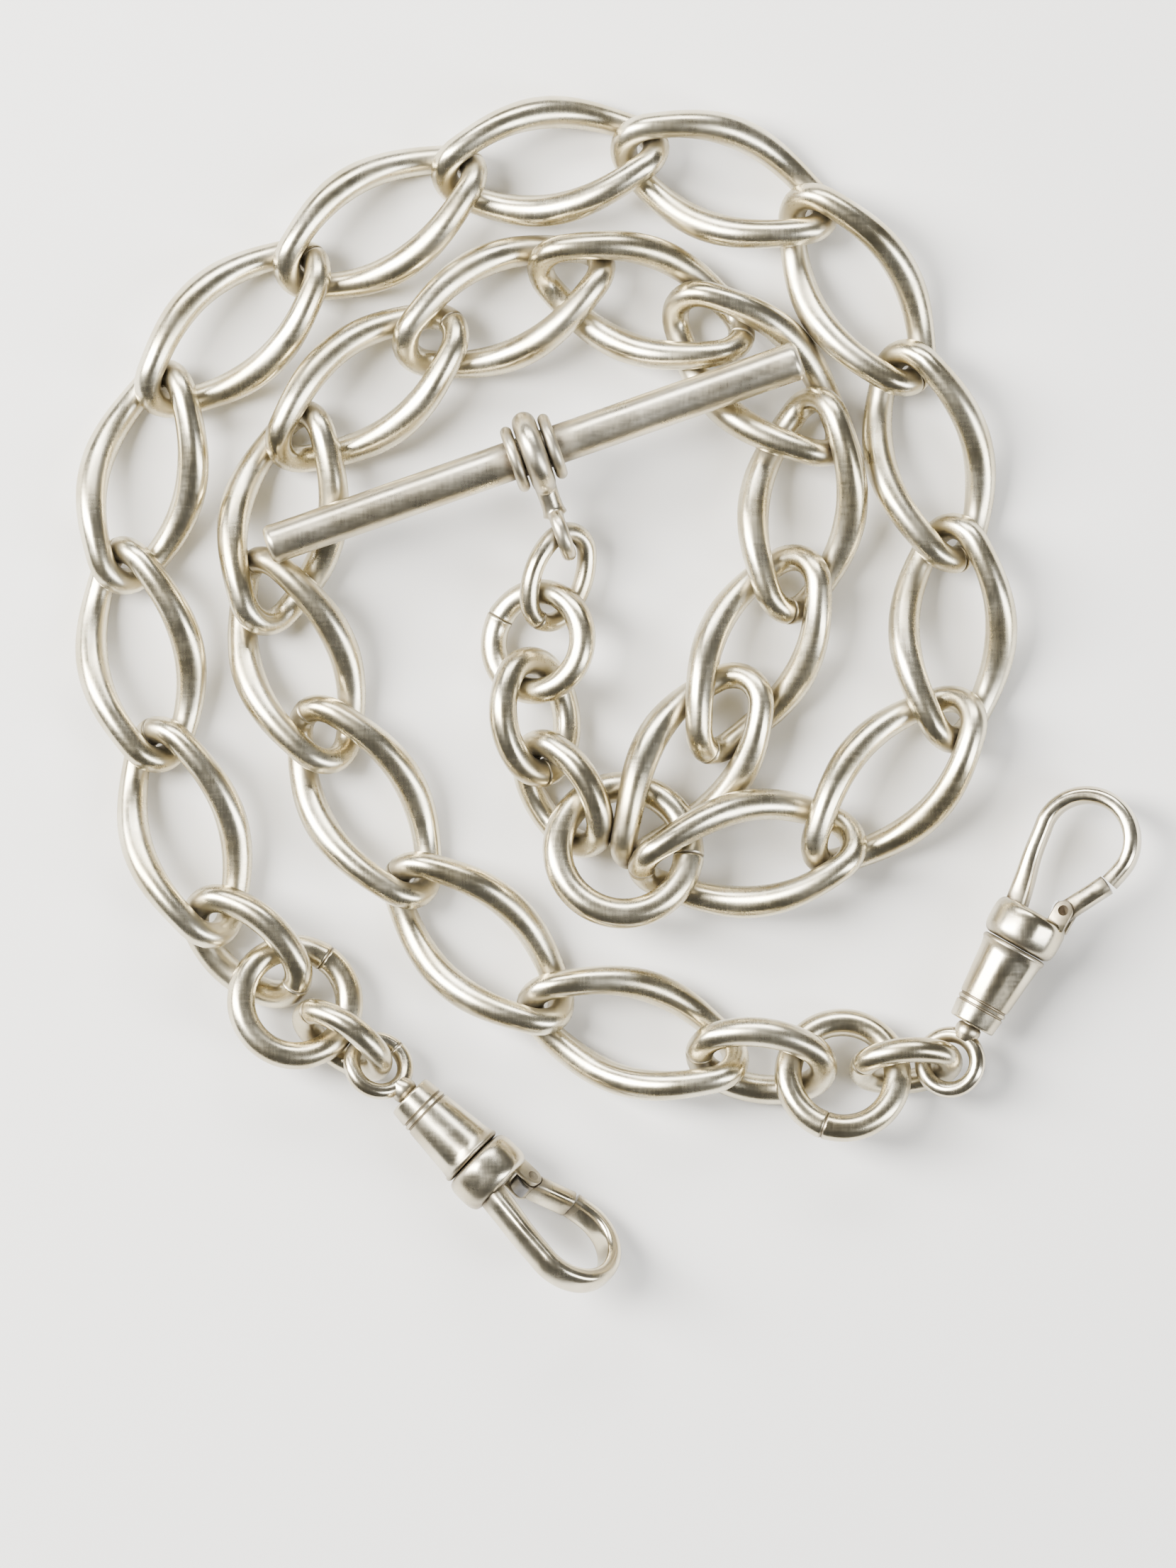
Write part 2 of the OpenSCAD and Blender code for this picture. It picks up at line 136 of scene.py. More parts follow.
# ---------------------------------------------------------------- the T-bar
BAR_L, BAR_R = 42, 1.48
BAR_TAPER = 0.02
BAR_END_R = 0.55
COLLAR_IN, COLLAR_T, COLLAR_R = 1.02, 0.9, 2.55
COLLAR_GRIP = 0.02
BAIL_R, BAIL_T, BAIL_BORE, BAIL_CHAMFER = 3.2, 1.8, 1.53, 0.15
BAIL_REACH = 6.5
# The neck's radius, and how much it flares over what length at the ring and at the eye
NECK_R, NECK_FROM = 0.8, 1.9
RING_FLARE, RING_FLARE_L = 0.1, 1.8
EYE_FLARE, EYE_FLARE_L = 0.12, 0.7
NECK_ROOT = ((1.7, 0), (1.7, 0.85))
NECK_FOOT = ((0.25, 0.5), (0.3, 0))
BAIL_VOXEL = 0.09

# ---------------------------------------------------------------- the swivels, along X from the eye
BARREL_AT, BARREL_L = 3.2, 6.7
NARROW_R, WIDE_R = 1.8, 2.45
BARREL_FLOOR, CHAMBER_R = 1.3, 1.45
LIP_R, BEAD_R, BEAD_GAP = 0.2, 0.24, 0.02
# How far in from the skin the barrel's flat ends start, and where its plain taper lies between them
NARROW_RIM, WIDE_RIM = 0.3, 0.5
TAPER_AFTER, TAPER_BEFORE = 2.4, 1
GROOVES_AT, GROOVE_DEPTH, GROOVE_DARK = (1.3, 1.75), 0.12, 0.75
# A groove's profile: how far along it, and how far out from the barrel at its start
GROOVE = ((0, 0), (0.07, -GROOVE_DEPTH), (0.15, -GROOVE_DEPTH), (0.22, 0.01))
POST_R, POST_BORE = 0.8, 0.86
POST_HEAD_R, POST_HEAD_L, POST_HEAD_PLAY = 1.2, 0.8, 0.08
FOOT = [(1.9, 0), (1.9, 0.75), (2.35, 0.95), (2.75, 1.0), (3.05, 0.92), (3.15, POST_R)]
CLIP_COLLAR_L, CLIP_COLLAR_R = 3.0, 2.9
CLIP_COLLAR_ROUND, CLIP_COLLAR_GAP, CLIP_COLLAR_INSET = 1, 0.06, 0.6
HOOK_AT = BARREL_AT + BARREL_L + CLIP_COLLAR_L
HOOK_CENTRE, HOOK_R = np.array([6.5, -0.75]), 3.45
HOOK_ROOT = [np.array(p) for p in ((-0.4, 1.45), (1.7, 1.87), (3.8, 2.33))]
HOOK_END = np.array([4.6, -3.85])
HOOK_TURN, HOOK_STEP = 105, 15
BAND_W, BAND_T = 2.2, 1.3
# How round a face is: 1 is a circle's, and less is flatter with sharper edges
CUSHION, OUTER_FACE, INNER_FACE = 0.62, 0.9, 0.5
ROOT_SWELL, ROOT_SWELL_L = 0.3, 3
GATE_HINGE = np.array([1.1, -2.0])
GATE_AT = np.array([HOOK_AT, 0]) + GATE_HINGE
GATE_W, GATE_T, GATE_GAP = 2.1, 1.5, 0.2
KNUCKLE_R, KNUCKLE_GAP = 0.8, 0.07
# The tongue runs on inside the blade by TONGUE_SINK, down to TONGUE_END of its thickness
TONGUE_W, TONGUE_L, TONGUE_SINK, TONGUE_END = 1.3, 0.85, 0.2, 0.6
TONGUE_T = 0.95 * GATE_T
LUG_R, LUG_T, LUG_GAP, LUG_SINK = 0.75, 0.4, 0.05, 0.4
BAND_SIDES, BLADE_RINGS = 28, 6
CLIP_SIDES = 48
COLLAR_EDGE, GATE_EDGE = 0.1, 0.12


# ---------------------------------------------------------------- laying the coil
def unit(angle):
    """The flat direction at an angle from X."""
    return np.array([cos(radians(angle)), sin(radians(angle))])


def link_poses(side, lies, end_rows):
    """(name, turn, play, side step, roll, dip, height, loop, seam) for each piece of an arm."""
    turns = [0, *[lie.turn for lie in lies[1:]], end_rows[0][1]]
    poses = []
    for i, lie in enumerate(lies):
        turn_in, turn_out = turns[i], turns[i + 1]
        roll = lie.roll + LINK_ROLL * (turn_in - turn_out)
        lean = degrees(np.arcsin(LINK_LIFT * (turn_in + turn_out) / (2 * MAIN_LINK.half_length)))
        height = LINK_HEIGHT + lie.rise + LINK_LIFT * (turn_out - turn_in) / 2
        name = f"{side}_link_{i + 1}"
        poses.append((name, lie.turn, lie.play, 0, roll, lie.dip - lean, height, MAIN_LINK, MAIN_SEAM))
    return poses + small_poses(side, end_rows)


def small_poses(side, rows):
    return [
        (f"{side}_{name}", turn, play, step, roll, 0, height, loop, seam)
        for name, turn, play, step, roll, height, loop, seam in rows
    ]


def lay(poses, start):
    """Lays pieces tip to tip from the centre ring. Returns {name: (matrix, loop, seam)} and the last
    piece's tip."""
    tip = np.array(RING_AT[:2]) + CENTRE_RING.half_length * unit(start)
    heading, wire, laid = start, CENTRE_RING.end_wire, {}
    for name, turn, play, step, roll, dip, height, loop, seam in poses:
        facing = heading + turn
        between = unit(heading) + unit(facing)
        between /= np.linalg.norm(between)
        across = np.array([-between[1], between[0]])
        near = tip - ((wire + loop.end_wire) / 2 + play) * between + step * across
        reach = unit(facing) * loop.half_length * cos(radians(dip))
        laid[name] = (placed((*(near + reach), height), (roll, dip, facing)), loop, seam)
        tip, heading, wire = near + 2 * reach, facing, loop.end_wire
    return laid, tip


def placed(at, turns):
    """The matrix that puts a piece made round its own origin, in mm, where it lies in the coil."""
    turn = Euler([radians(a) for a in turns]).to_matrix().to_4x4()
    return Matrix.Translation(Vector(COIL_SHIFT + np.array(at))) @ turn


# ---------------------------------------------------------------- shapes, round their own origins
class Shape:
    """Points and faces that are put together before they become one piece."""

    def __init__(self):
        self.points, self.faces, self.dark = [], [], []

    def add(self, points, faces, dark=None):
        first = len(self.points)
        self.points += [Vector(p) for p in points]
        self.faces += [[first + i for i in face] for face in faces]
        self.dark += [0.0] * len(points) if dark is None else dark
        return self


def strip(rings, sides, closed):
    """Faces of a tube of rings with so many sides. An open tube gets an end face at each end."""
    faces = []
    for i in range(rings if closed else rings - 1):
        a, b = i * sides, (i + 1) % rings * sides
        faces += [[a + j, b + j, b + (j + 1) % sides, a + (j + 1) % sides] for j in range(sides)]
    if not closed:
        faces += [list(range(sides))[::-1], [(rings - 1) * sides + j for j in range(sides)]]
    return faces


def bell(distance, reach):
    return np.exp(-(distance / reach) ** 2)


def softened(v, power=CUSHION):
    """Bends a circle's coordinate towards a square's, for a cushion-shaped section."""
    return np.sign(v) * abs(v) ** power


def arc(x, r, size, start, end, steps=6):
    turns = [radians(t) for t in np.linspace(start, end, steps)]
    return [(x + size * cos(t), r + size * sin(t)) for t in turns]


def quarter_outline(loop):
    """A quarter of a loop's flat outline, from the middle of its end to the middle of its side."""
    a, b, r = loop.half_length, loop.half_width, loop.bend
    if b <= r:
        return np.array([np.array([a - r, 0]) + r * unit(t) for t in np.linspace(0, 90, QUARTER_STEPS)])
    big = ((a - r) ** 2 + b ** 2 - r ** 2) / (2 * (b - r))
    turn = degrees(atan2(big - b, a - r))
    end = [np.array([a - r, 0]) + r * unit(t) for t in np.linspace(0, turn, QUARTER_STEPS)]
    side = [np.array([0, b - big]) + big * unit(t) for t in np.linspace(turn, 90, QUARTER_STEPS)[1:]]
    return np.array(end + side)


def outline(loop, seam):
    """A loop's flat outline in equal steps, with closer ones at its seam, and each point's distance from
    the seam along the wire."""
    quarter = quarter_outline(loop)
    half = np.vstack([quarter, (quarter * [-1, 1])[::-1][1:]])
    ring = np.vstack([half, (half * [1, -1])[::-1][1:]])
    run = np.r_[0, np.cumsum(np.linalg.norm(np.diff(ring, axis=0), axis=1))]
    whole = run[-1]
    even = np.linspace(0, whole, LOOP_STEPS + 1)[:-1]
    close = seam * whole + np.linspace(-SEAM_ZONE, SEAM_ZONE, SEAM_STEPS)
    at = np.sort(np.r_[even[abs(even - seam * whole) > SEAM_CLEAR], close % whole])
    flat = np.stack([np.interp(at, run, ring[:, k]) for k in (0, 1)], axis=1)
    away = abs(at - seam * whole)
    return flat, np.minimum(away, whole - away)


def twisted(flat, loop):
    """The wire's centres on a loop's flat outline as the loop twists, with its side and top directions."""
    turn = np.radians(-loop.twist / 2 * flat[:, 0] / loop.half_length)
    centres = np.stack([flat[:, 0], flat[:, 1] * np.cos(turn), flat[:, 1] * np.sin(turn)], axis=1)
    along = np.roll(centres, -1, axis=0) - np.roll(centres, 1, axis=0)
    along /= np.linalg.norm(along, axis=1)[:, None]
    up = np.stack([0 * turn, -np.sin(turn), np.cos(turn)], axis=1)
    side = np.cross(up, along)
    side /= np.linalg.norm(side, axis=1)[:, None]
    return centres, side, np.cross(along, side)


def wire_loop(loop, seam, seed):
    """A loop of wire with its twist, thinner ends, slightly uneven faces and a soldered seam."""
    flat, from_seam = outline(loop, seam)
    centres, side, top = twisted(flat, loop)
    middle = (1 + np.cos(np.pi * abs(flat[:, 0]) / loop.half_length)) / 2
    thinning = loop.wire - loop.end_wire
    inner = (loop.end_wire + thinning * middle) / 2
    outer = inner + FULLER * thinning * (abs(flat[:, 0]) / loop.half_length) ** 2 + PROUD * loop.wire
    solder = SOLDER_BULGE * bell(from_seam, SOLDER_REACH) - SEAM_GROOVE * bell(from_seam, SEAM_GROOVE_REACH)
    run = np.arange(len(flat)) / len(flat) * 2 * pi
    rng = np.random.default_rng(seed)
    wave = sum(rng.normal() * UNEVEN * np.sin(k * run + rng.uniform(0, 2 * pi)) for k in range(1, 7))
    lean = WANDER * np.sin(run * 2 + rng.uniform(0, 2 * pi))
    points, dark = [], []
    for i, centre in enumerate(centres):
        for j in range(WIRE_SIDES):
            t = 2 * pi * j / WIRE_SIDES
            radius = inner[i] + (outer[i] - inner[i]) * (1 - cos(t)) / 2
            radius *= 1 - FLATTENED / 2 - FLATTENED * cos(4 * t + lean[i]) + wave[i] + solder[i]
            points.append(centre + radius * (cos(t) * side[i] + sin(t) * top[i]))
            dark.append(SEAM_DARK * bell(from_seam[i], SEAM_DARK_REACH))
    return Shape().add(points, strip(len(flat), WIRE_SIDES, True), dark)


def turned(profile, sides, axis="X", hollow=False):
    """A turned solid from (distance along, radius) points, along X or Y. A hollow one joins its last point
    to its first. A point on the axis becomes a ring of POLE_R, which tidy_mesh closes."""
    points = []
    for x, r in profile:
        for j in range(sides):
            t = 2 * pi * j / sides
            y, z = max(r, POLE_R) * cos(t), max(r, POLE_R) * sin(t)
            points.append((x, y, z) if axis == "X" else (-y, x, z))
    return points, strip(len(profile), sides, hollow)


def smooth_path(points, steps=8):
    """A Catmull-Rom curve through flat points."""
    p = np.array([2 * points[0] - points[1], *points, 2 * points[-1] - points[-2]])
    path = []
    for i in range(1, len(p) - 2):
        for t in np.arange(steps) / steps:
            path.append(0.5 * (
                2 * p[i] + (p[i + 1] - p[i - 1]) * t
                + (2 * p[i - 1] - 5 * p[i] + 4 * p[i + 1] - p[i + 2]) * t ** 2
                + (3 * p[i] - p[i - 1] - 3 * p[i + 1] + p[i + 2]) * t ** 3
            ))
    return np.array(path + [p[-2]])


def band_section():
    """The hook's band: a rounded outer face, a flatter inner face and soft edges."""
    section = []
    for j in range(BAND_SIDES):
        t = 2 * pi * j / BAND_SIDES
        out = BAND_T / 2 * softened(cos(t), OUTER_FACE if cos(t) > 0 else INNER_FACE)
        section.append((out, BAND_W / 2 * softened(sin(t))))
    return section


def hook_shape():
    """The band along its curve, from inside the collar to the gate's tip, and fuller at its root."""
    turns = range(HOOK_TURN, -HOOK_TURN - 1, -HOOK_STEP)
    path = smooth_path([*HOOK_ROOT, *[HOOK_CENTRE + HOOK_R * unit(t) for t in turns], HOOK_END])
    section, points = band_section(), []
    for i, (x, y) in enumerate(path):
        along = path[min(i + 1, len(path) - 1)] - path[max(i - 1, 0)]
        along /= np.linalg.norm(along)
        swell = 1 + ROOT_SWELL * bell(max(x, 0), ROOT_SWELL_L) * (y > 0)
        for out, across in section:
            points.append((HOOK_AT + x - along[1] * out * swell, y + along[0] * out * swell, across))
    return Shape().add(points, strip(len(path), BAND_SIDES, False))


def slab(edge, low, high):
    """A flat plate with this outline between two heights."""
    points = [(x, y, z) for z in (low, high) for x, y in edge]
    return points, strip(2, len(edge), False)


def rungs(first, sides):
    """An end face cut into rungs across the band, which keeps the curve of a hollow mouth."""
    ring = range(first, first + sides)
    faces = [[ring[j], ring[j + 1], ring[sides - j - 1], ring[-j]] for j in range(sides // 2)]
    return [list(dict.fromkeys(face)) for face in faces]


def gate_shape():
    """The gate's blade, rounded like the band it shuts against, and the narrow tongue that carries it."""
    reach = HOOK_END - GATE_HINGE
    tip, mouth = np.linalg.norm(reach) - GATE_GAP, LUG_R + KNUCKLE_GAP
    turn = atan2(reach[1], reach[0])
    spin = np.array([[cos(turn), -sin(turn)], [sin(turn), cos(turn)]])
    start = degrees(np.arcsin(TONGUE_T / 2 / KNUCKLE_R))
    knuckle = [KNUCKLE_R * unit(t) for t in np.linspace(start, 360 - start, 22)]
    sunk = [np.array([TONGUE_L + TONGUE_SINK, side * TONGUE_END * TONGUE_T / 2]) for side in (-1, 1)]
    tongue = [GATE_AT + spin @ p for p in (*knuckle, *sunk)]
    blade = []
    for share in np.linspace(0, 1, BLADE_RINGS):
        for out, across in band_section():
            y = -out * GATE_T / BAND_T
            x = (1 - share) * np.sqrt(mouth ** 2 - y ** 2) + share * np.sqrt(tip ** 2 - y ** 2)
            blade.append((*(GATE_AT + spin @ (x, y)), across * GATE_W / BAND_W))
    skin = strip(BLADE_RINGS, BAND_SIDES, False)[:-2]
    ends = rungs(0, BAND_SIDES) + rungs((BLADE_RINGS - 1) * BAND_SIDES, BAND_SIDES)
    return Shape().add(*slab(tongue, -TONGUE_W / 2, TONGUE_W / 2)).add(blade, skin + ends)


def lug_outline():
    nose = [GATE_AT + LUG_R * unit(t) for t in np.linspace(-90, 90, 14)]
    return [*nose, *[np.array([HOOK_AT - LUG_SINK, GATE_AT[1] + side * LUG_R]) for side in (1, -1)]]


def clip_collar_shape():
    """The rounded collar between barrel and hook, with the two lugs that hold the gate's pin. A ring of
    points in each flat end keeps its shading flat."""
    start, end = BARREL_AT + BARREL_L + CLIP_COLLAR_GAP, HOOK_AT
    middle, half = (start + end) / 2, (end - start) / 2
    edge = CLIP_COLLAR_R - CLIP_COLLAR_ROUND
    inset = CLIP_COLLAR_INSET * edge
    rounded = [
        (middle + half * softened(cos(radians(t))), edge + CLIP_COLLAR_ROUND * softened(sin(radians(t))))
        for t in np.linspace(180, 0, 25)
    ]
    profile = [(start, 0), (start, inset), *rounded, (end, inset), (end, 0)]
    shape = Shape().add(*turned(profile, CLIP_SIDES))
    for side in (-1, 1):
        low = side * (TONGUE_W / 2 + LUG_GAP + LUG_T / 2) - LUG_T / 2
        shape.add(*slab(lug_outline(), low, low + LUG_T))
    return shape


def barrel_shape():
    """The tapered hollow barrel with a rolled lip, two turned grooves and a bead at its wide end."""
    def skin(x):
        return NARROW_R + (WIDE_R - NARROW_R) * (x - BARREL_AT) / BARREL_L

    end, floor = BARREL_AT + BARREL_L, BARREL_AT + BARREL_FLOOR
    profile = [(BARREL_AT, POST_BORE), (BARREL_AT, NARROW_R - NARROW_RIM)]
    profile += arc(BARREL_AT + LIP_R, skin(BARREL_AT) - LIP_R, LIP_R, 180, 90)
    bottoms = []
    for offset in GROOVES_AT:
        start = BARREL_AT + offset
        profile += [(start + along, skin(start) + out) for along, out in GROOVE]
        bottoms += profile[-3:-1]
    profile += [(x, skin(x)) for x in np.linspace(BARREL_AT + TAPER_AFTER, end - TAPER_BEFORE, 6)]
    profile += arc(end - BEAD_R - BEAD_GAP, skin(end) - BEAD_R / 2, BEAD_R, 150, 0)
    profile += [(end, WIDE_R - WIDE_RIM), (end, CHAMBER_R), (floor, CHAMBER_R), (floor, POST_BORE)]
    dark = [GROOVE_DARK * (point in bottoms) for point in profile for _ in range(CLIP_SIDES)]
    return Shape().add(*turned(profile, CLIP_SIDES, hollow=True), dark)


def swivel_eye_shape(seed):
    """The eye, the small soldered foot under it, and the post with its head inside the barrel."""
    head = BARREL_AT + BARREL_FLOOR + POST_HEAD_PLAY
    head_end = head + POST_HEAD_L
    post = [*FOOT, (head, POST_R), (head, POST_HEAD_R), (head_end, POST_HEAD_R), (head_end, 0)]
    return wire_loop(SWIVEL_EYE, EYE_SEAM, seed).add(*turned(post, sides=28))


def bar_shape():
    """The bar, very slightly fuller in the middle, with worn round ends."""
    half = BAR_L / 2
    ends = arc(half - BAR_END_R, BAR_R - BAR_END_R, BAR_END_R, 90, 0, steps=8)
    along = np.linspace(-half + 1, half - 1, 30)
    side = [(x, BAR_R * (1 - BAR_TAPER * (x / half) ** 2)) for x in along]
    profile = [(-half, 0), *[(-x, r) for x, r in ends[::-1]], *side, *ends, (half, 0)]
    return Shape().add(*turned(profile, sides=40, axis="Y"))


def bar_collar_shape(side):
    """A rounded collar soldered on the bar, on one side of the bail."""
    edge = COLLAR_T / 2
    rounded = arc(COLLAR_IN + edge, COLLAR_R - edge, edge, 180, 0, steps=15)
    grip = BAR_R - COLLAR_GRIP
    profile = [(COLLAR_IN, grip), *rounded, (COLLAR_IN + COLLAR_T, grip)]
    flipped = profile if side > 0 else [(-x, r) for x, r in profile[::-1]]
    return Shape().add(*turned(flipped, sides=48, axis="Y", hollow=True))


def bail_shape():
    """The ring round the bar, its neck and its small eye, before they are soldered into one. The neck's
    ends are sunk in the ring and in the eye."""
    edge, chamfer, sides = BAIL_T / 2, BAIL_CHAMFER, 64
    section = arc(0, BAIL_R - edge, edge, 0, 180, steps=12)
    section += [(-edge, BAIL_BORE + chamfer), (-edge + chamfer, BAIL_BORE)]
    section += [(edge - chamfer, BAIL_BORE), (edge, BAIL_BORE + chamfer)]
    turns = [2 * pi * i / sides for i in range(sides)]
    ring = [(r * cos(t), y, r * sin(t)) for t in turns for y, r in section]
    foot, neck = BAIL_REACH - BAIL_EYE.half_length, []
    for x in np.linspace(NECK_FROM, foot + 0.1, 12):
        r = NECK_R + RING_FLARE * max(0, 1 - (x - NECK_FROM) / RING_FLARE_L) ** 2
        neck.append((x, r + EYE_FLARE * max(0, 1 - (foot - x) / EYE_FLARE_L) ** 2))
    profile = [*NECK_ROOT, *neck, *[(foot + x, r) for x, r in NECK_FOOT]]
    eye = wire_loop(BAIL_EYE, BAIL_SEAM, BAIL_SEED)
    level = [(p.x + BAIL_REACH, -p.z, p.y) for p in eye.points]
    shape = Shape().add(ring, strip(sides, len(section), True)).add(*turned(profile, sides=24))
    return shape.add(level, eye.faces, eye.dark)


# ---------------------------------------------------------------- pieces
WELD = 0.002
SHARP_ANGLE = 48
BEVEL_ANGLE = 40

pieces = {}


def piece(name, shape, matrix, body, node, slot, bevel=0, voxel=0):
    """Makes one object from a shape in mm, in the row frame in metres, in place of its CAD node."""
    mesh = bpy.data.meshes.new(name)
    mesh.from_pydata([(matrix @ p) * MM for p in shape.points], [], shape.faces)
    mesh.attributes.new("seam", "FLOAT", "POINT").data.foreach_set("value", shape.dark)
    obj = bpy.data.objects.new(name, mesh)
    bpy.context.scene.collection.objects.link(obj)
    tidy_mesh(mesh)
    if bevel:
        add_bevel(obj, bevel)
    if voxel:
        add_solder(obj, voxel)
    apply_modifiers(obj)
    obj.data.shade_smooth()
    obj.data.set_sharp_from_angle(angle=radians(SHARP_ANGLE))
    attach(obj, body)
    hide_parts(node)
    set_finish(obj, slot)
    pieces[name] = obj


def tidy_mesh(mesh):
    bm = bmesh.new()
    bm.from_mesh(mesh)
    bmesh.ops.remove_doubles(bm, verts=bm.verts, dist=WELD * MM)
    bmesh.ops.recalc_face_normals(bm, faces=bm.faces)
    bm.to_mesh(mesh)
    bm.free()


def add_bevel(obj, width):
    bevel = obj.modifiers.new("edge", "BEVEL")
    bevel.width = width * MM
    bevel.segments = 3
    bevel.limit_method = "ANGLE"
    bevel.angle_limit = radians(BEVEL_ANGLE)


def add_solder(obj, voxel):
    """Fuses overlapping parts and rounds the corners between them, as solder does."""
    remesh = obj.modifiers.new("fuse", "REMESH")
    remesh.mode = "VOXEL"
    remesh.voxel_size = voxel * MM
    soften = obj.modifiers.new("soften", "SMOOTH")
    soften.factor = 0.5
    soften.iterations = 6


def apply_modifiers(obj):
    if not obj.modifiers:
        return
    graph = bpy.context.evaluated_depsgraph_get()
    mesh = bpy.data.meshes.new_from_object(obj.evaluated_get(graph), depsgraph=graph)
    obj.modifiers.clear()
    obj.data = mesh


def add_chain():
    """The centre ring and every loop of the three arms. Returns the tips of the two long arms."""
    ring = wire_loop(CENTRE_RING, CENTRE_SEAM, CENTRE_SEED)
    piece("ring_centre", ring, placed(RING_AT, RING_TILT), "centre_ring", "centre_ring", "ring_silver")
    outer, outer_tip = lay(link_poses("outer", OUTER_LINKS, OUTER_END), OUTER_START)
    inner, inner_tip = lay(link_poses("inner", INNER_LINKS, INNER_END), INNER_START)
    drop, _ = lay(small_poses("drop", DROP), DROP_START)
    laid = {**outer, **inner, **drop}
    for seed, (name, (matrix, loop, seam)) in enumerate(laid.items(), FIRST_SEED):
        slot = "link_silver" if loop is MAIN_LINK else "ring_silver"
        piece(name + "_wire", wire_loop(loop, seam, seed), matrix, name, name, slot)
    return outer_tip, inner_tip


def add_swivel(side, tip, turn, eye_roll, height):
    """A swivel clip with its eye on the tip of its arm's last link."""
    at = (tip[0], tip[1], height)
    eye, rest = placed(at, (eye_roll, *turn[1:])), placed(at, turn)
    body = side + "_swivel"
    seed = len(pieces)
    parts = [
        ("eye_ring", swivel_eye_shape(seed), eye, side + "_eye", "eye", 0),
        ("barrel_shell", barrel_shape(), rest, body, "barrel", 0),
        ("collar_cap", clip_collar_shape(), rest, body, "collar", COLLAR_EDGE),
        ("hook_band", hook_shape(), rest, body, "hook", 0),
        ("gate_tongue", gate_shape(), rest, side + "_gate", "gate", GATE_EDGE),
    ]
    for name, shape, matrix, carrier, node, bevel in parts:
        piece(f"{side}_{name}", shape, matrix, carrier, f"{body}_{node}", "clip_silver", bevel=bevel)


def add_bar():
    lies = placed(BAR_AT, BAR_TURN)
    piece("bar_rod", bar_shape(), lies, "bar", "bar", "bar_silver")
    piece("bar_collar_low", bar_collar_shape(-1), lies, "bar", "bar_collar_left", "bar_silver")
    piece("bar_collar_high", bar_collar_shape(1), lies, "bar", "bar_collar_right", "bar_silver")
    piece("bail_loop", bail_shape(), lies, "bar_bail", "bar_bail", "bar_silver", voxel=BAIL_VOXEL)


# ---------------------------------------------------------------- wear, grime and painted shade
LOOP_NAMES = ("_wire", "ring_centre", "bail_loop")
WEAR_GAP = 0.02
WEAR_PASSES = 3
# How far in a wire may lie and still be rubbed, and what share of the way out each pass takes it
WEAR_REACH, WEAR_SHARE = 0.6, 0.55
# How far from another piece the dirt and painted shade reach, and how sharply they fade
GRIME_AND_SHADE_REACH, GRIME_AND_SHADE_FALL = 1.3, 1.7


def points_of(obj):
    points = np.zeros(len(obj.data.vertices) * 3)
    obj.data.vertices.foreach_get("co", points)
    return points.reshape(-1, 3)


def boxes_of(objects):
    return {obj: (points_of(obj).min(axis=0), points_of(obj).max(axis=0)) for obj in objects}


def neighbours(obj, boxes, reach):
    """The objects whose boxes come within reach of this one's."""
    low, high = boxes[obj]
    return [
        other for other, (other_low, other_high) in boxes.items()
        if other != obj and (other_low < high + reach).all() and (other_high > low - reach).all()
    ]


def add_wear():
    """Rubs small flats where loops press on each other, so that they all but clear one another, and on
    undersides that would reach below the table."""
    loops = [obj for name, obj in pieces.items() if name.endswith(LOOP_NAMES)]
    for _ in range(WEAR_PASSES):
        graph = bpy.context.evaluated_depsgraph_get()
        trees = {obj: BVHTree.FromObject(obj, graph) for obj in loops}
        boxes = boxes_of(loops)
        for obj in loops:
            rub(obj, [(trees[near], *boxes[near]) for near in neighbours(obj, boxes, WEAR_GAP * MM)])
    for obj in loops:
        for vertex in obj.data.vertices:
            vertex.co.z = max(vertex.co.z, 0)


def rub(obj, near):
    """Moves the vertices that lie inside a neighbour, or closer to it than the gap, some of the way out."""
    gap = WEAR_GAP * MM
    for vertex in obj.data.vertices:
        for tree, low, high in near:
            if (np.array(vertex.co) < low - gap).any() or (np.array(vertex.co) > high + gap).any():
                continue
            at, normal, _, _ = tree.find_nearest(vertex.co)
            depth = gap - (vertex.co - at).dot(normal)
            if depth > 0 and (vertex.co - at).length < WEAR_REACH * MM:
                vertex.co += normal * depth * WEAR_SHARE
    obj.data.update()


def add_grime_and_shade():
    """Stores how near each point lies to another piece. The silver is darkened there, partly as dirt that
    gathers where polish doesn't reach and partly as painted shade between the pieces.
    """
    graph = bpy.context.evaluated_depsgraph_get()
    shown = [*pieces.values(), *[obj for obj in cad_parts.values() if not obj.hide_render]]
    trees = {obj: BVHTree.FromObject(obj, graph) for obj in shown}
    boxes = boxes_of(shown)
    reach = GRIME_AND_SHADE_REACH * MM
    for obj in shown:
        near = [trees[other] for other in neighbours(obj, boxes, reach)]
        values = []
        for point in points_of(obj):
            hits = [tree.find_nearest(Vector(point), reach)[3] for tree in near]
            gap = min([hit for hit in hits if hit is not None], default=reach)
            values.append((1 - gap / reach) ** GRIME_AND_SHADE_FALL)
        obj.data.attributes.new("grime_and_shade", "FLOAT", "POINT").data.foreach_set("value", values)


# ---------------------------------------------------------------- materials
# The dark that is mixed into the silver for dirt, dark seams and grooves, and the painted shade near other
# pieces
GRIME_AND_SHADE_COLOUR = (0.07, 0.05, 0.03)
STRETCH_TURN = (0.4, 0.7, 0.9)
SILVER_BUMP, STEEL_BUMP = 0.00006, 0.00001


